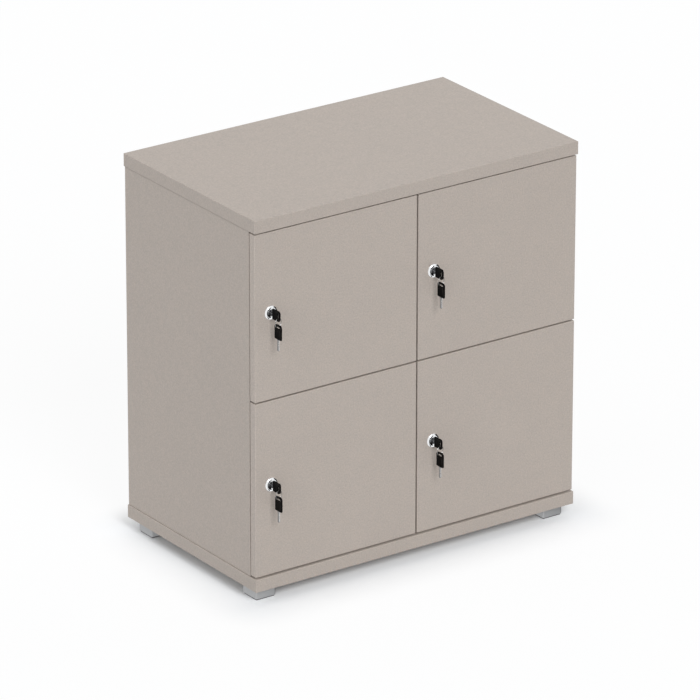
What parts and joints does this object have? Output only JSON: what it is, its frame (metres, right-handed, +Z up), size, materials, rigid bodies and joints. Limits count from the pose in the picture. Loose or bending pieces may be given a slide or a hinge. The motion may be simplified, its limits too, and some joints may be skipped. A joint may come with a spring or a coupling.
{
  "type": "locker",
  "caption": "Low wooden locker on square feet, its hinged doors each with a cam lock, a key in it and a spare key on a ring.",
  "frame": {"origin": "on the floor, under the middle of the whole locker's bounding box, the keys in front included", "axes": "+X to the right as seen from the front, +Y from the doors to the back, +Z up; the doors face -Y"},
  "size_m": [0.71, 0.4508, 0.74],
  "materials": {
    "board": "warm grey-beige melamine, matt, very finely mottled",
    "hinge": "nickel-plated pressed steel",
    "lock": "polished chrome plate",
    "key": "black moulded head; the blade is bare nickel-plated steel",
    "ring": "nickel-plated spring wire",
    "foot": "silver-grey, satin, with a dark pad under it"
  },
  "bodies": {
    "carcass": {"top_board": "board", "base_board": "board", "left_side": "board", "right_side": "board", "centre_partition": "board", "left_shelf": "board", "right_shelf": "board", "back_panel": "board", "front_left_foot": "foot", "front_right_foot": "foot", "back_left_foot": "foot", "back_right_foot": "foot", "upper_left_top_hinge_arm": "hinge", "upper_left_bottom_hinge_arm": "hinge", "upper_right_top_hinge_arm": "hinge", "upper_right_bottom_hinge_arm": "hinge", "lower_left_top_hinge_arm": "hinge", "lower_left_bottom_hinge_arm": "hinge", "lower_right_top_hinge_arm": "hinge", "lower_right_bottom_hinge_arm": "hinge"},
    "upper_left_links": {"upper_left_top_hinge_link": "hinge", "upper_left_bottom_hinge_link": "hinge"},
    "upper_left_door": {"upper_left_door": "board", "upper_left_top_hinge_cup": "hinge", "upper_left_bottom_hinge_cup": "hinge", "upper_left_lock_housing": "lock"},
    "upper_left_plug": {"upper_left_lock_plug": "lock"},
    "upper_left_key": {"upper_left_key": "key"},
    "upper_left_ring": {"upper_left_key_ring": "ring"},
    "upper_left_spare": {"upper_left_spare_key": "key"},
    "upper_right_links": {"upper_right_top_hinge_link": "hinge", "upper_right_bottom_hinge_link": "hinge"},
    "upper_right_door": {"upper_right_door": "board", "upper_right_top_hinge_cup": "hinge", "upper_right_bottom_hinge_cup": "hinge", "upper_right_lock_housing": "lock"},
    "upper_right_plug": {"upper_right_lock_plug": "lock"},
    "upper_right_key": {"upper_right_key": "key"},
    "upper_right_ring": {"upper_right_key_ring": "ring"},
    "upper_right_spare": {"upper_right_spare_key": "key"},
    "lower_left_links": {"lower_left_top_hinge_link": "hinge", "lower_left_bottom_hinge_link": "hinge"},
    "lower_left_door": {"lower_left_door": "board", "lower_left_top_hinge_cup": "hinge", "lower_left_bottom_hinge_cup": "hinge", "lower_left_lock_housing": "lock"},
    "lower_left_plug": {"lower_left_lock_plug": "lock"},
    "lower_left_key": {"lower_left_key": "key"},
    "lower_left_ring": {"lower_left_key_ring": "ring"},
    "lower_left_spare": {"lower_left_spare_key": "key"},
    "lower_right_links": {"lower_right_top_hinge_link": "hinge", "lower_right_bottom_hinge_link": "hinge"},
    "lower_right_door": {"lower_right_door": "board", "lower_right_top_hinge_cup": "hinge", "lower_right_bottom_hinge_cup": "hinge", "lower_right_lock_housing": "lock"},
    "lower_right_plug": {"lower_right_lock_plug": "lock"},
    "lower_right_key": {"lower_right_key": "key"},
    "lower_right_ring": {"lower_right_key_ring": "ring"},
    "lower_right_spare": {"lower_right_spare_key": "key"}
  },
  "joints": [
    {"name": "upper_left_hinge_links", "type": "hinge", "parent": "carcass", "child": "upper_left_links", "pos_m": [-0.0365, -0.16555, 0.55225], "axis": [0, 0, 1], "range_deg": [-47.5, 0]},
    {"name": "upper_left_door_swing", "type": "hinge", "parent": "upper_left_links", "child": "upper_left_door", "pos_m": [-0.0115, -0.17855, 0.55225], "axis": [0, 0, 1], "range_deg": [0, 142.5]},
    {"name": "upper_left_lock_turn", "type": "hinge", "parent": "upper_left_door", "child": "upper_left_plug", "pos_m": [-0.3195, -0.19155, 0.55925], "axis": [0, 1, 0], "range_deg": [0, 90]},
    {"name": "upper_left_key_pull", "type": "slide", "parent": "upper_left_plug", "child": "upper_left_key", "axis": [0, -1, 0], "range_m": [0, 0.026]},
    {"name": "upper_left_ring_swing", "type": "hinge", "parent": "upper_left_key", "child": "upper_left_ring", "pos_m": [-0.3195, -0.21545, 0.55375], "axis": [0, 1, 0], "range_deg": [-30, 30]},
    {"name": "upper_left_spare_swing", "type": "hinge", "parent": "upper_left_ring", "child": "upper_left_spare", "pos_m": [-0.3195, -0.21545, 0.54695], "axis": [0, 1, 0], "range_deg": [-60, 60]},
    {"name": "upper_right_hinge_links", "type": "hinge", "parent": "carcass", "child": "upper_right_links", "pos_m": [0.3185, -0.16555, 0.55225], "axis": [0, 0, 1], "range_deg": [-47.5, 0]},
    {"name": "upper_right_door_swing", "type": "hinge", "parent": "upper_right_links", "child": "upper_right_door", "pos_m": [0.3435, -0.17855, 0.55225], "axis": [0, 0, 1], "range_deg": [0, 142.5]},
    {"name": "upper_right_lock_turn", "type": "hinge", "parent": "upper_right_door", "child": "upper_right_plug", "pos_m": [0.0355, -0.19155, 0.55925], "axis": [0, 1, 0], "range_deg": [0, 90]},
    {"name": "upper_right_key_pull", "type": "slide", "parent": "upper_right_plug", "child": "upper_right_key", "axis": [0, -1, 0], "range_m": [0, 0.026]},
    {"name": "upper_right_ring_swing", "type": "hinge", "parent": "upper_right_key", "child": "upper_right_ring", "pos_m": [0.0355, -0.21545, 0.55375], "axis": [0, 1, 0], "range_deg": [-30, 30]},
    {"name": "upper_right_spare_swing", "type": "hinge", "parent": "upper_right_ring", "child": "upper_right_spare", "pos_m": [0.0355, -0.21545, 0.54695], "axis": [0, 1, 0], "range_deg": [-60, 60]},
    {"name": "lower_left_hinge_links", "type": "hinge", "parent": "carcass", "child": "lower_left_links", "pos_m": [-0.0365, -0.16555, 0.22125], "axis": [0, 0, 1], "range_deg": [-47.5, 0]},
    {"name": "lower_left_door_swing", "type": "hinge", "parent": "lower_left_links", "child": "lower_left_door", "pos_m": [-0.0115, -0.17855, 0.22125], "axis": [0, 0, 1], "range_deg": [0, 142.5]},
    {"name": "lower_left_lock_turn", "type": "hinge", "parent": "lower_left_door", "child": "lower_left_plug", "pos_m": [-0.3195, -0.19155, 0.22825], "axis": [0, 1, 0], "range_deg": [0, 90]},
    {"name": "lower_left_key_pull", "type": "slide", "parent": "lower_left_plug", "child": "lower_left_key", "axis": [0, -1, 0], "range_m": [0, 0.026]},
    {"name": "lower_left_ring_swing", "type": "hinge", "parent": "lower_left_key", "child": "lower_left_ring", "pos_m": [-0.3195, -0.21545, 0.22275], "axis": [0, 1, 0], "range_deg": [-30, 30]},
    {"name": "lower_left_spare_swing", "type": "hinge", "parent": "lower_left_ring", "child": "lower_left_spare", "pos_m": [-0.3195, -0.21545, 0.21595], "axis": [0, 1, 0], "range_deg": [-60, 60]},
    {"name": "lower_right_hinge_links", "type": "hinge", "parent": "carcass", "child": "lower_right_links", "pos_m": [0.3185, -0.16555, 0.22125], "axis": [0, 0, 1], "range_deg": [-47.5, 0]},
    {"name": "lower_right_door_swing", "type": "hinge", "parent": "lower_right_links", "child": "lower_right_door", "pos_m": [0.3435, -0.17855, 0.22125], "axis": [0, 0, 1], "range_deg": [0, 142.5]},
    {"name": "lower_right_lock_turn", "type": "hinge", "parent": "lower_right_door", "child": "lower_right_plug", "pos_m": [0.0355, -0.19155, 0.22825], "axis": [0, 1, 0], "range_deg": [0, 90]},
    {"name": "lower_right_key_pull", "type": "slide", "parent": "lower_right_plug", "child": "lower_right_key", "axis": [0, -1, 0], "range_m": [0, 0.026]},
    {"name": "lower_right_ring_swing", "type": "hinge", "parent": "lower_right_key", "child": "lower_right_ring", "pos_m": [0.0355, -0.21545, 0.22275], "axis": [0, 1, 0], "range_deg": [-30, 30]},
    {"name": "lower_right_spare_swing", "type": "hinge", "parent": "lower_right_ring", "child": "lower_right_spare", "pos_m": [0.0355, -0.21545, 0.21595], "axis": [0, 1, 0], "range_deg": [-60, 60]}
  ],
  "couplings": [
    {"joint": "upper_left_hinge_links", "follows": "upper_left_door_swing", "ratio": -0.33333},
    {"joint": "upper_right_hinge_links", "follows": "upper_right_door_swing", "ratio": -0.33333},
    {"joint": "lower_left_hinge_links", "follows": "lower_left_door_swing", "ratio": -0.33333},
    {"joint": "lower_right_hinge_links", "follows": "lower_right_door_swing", "ratio": -0.33333}
  ]
}
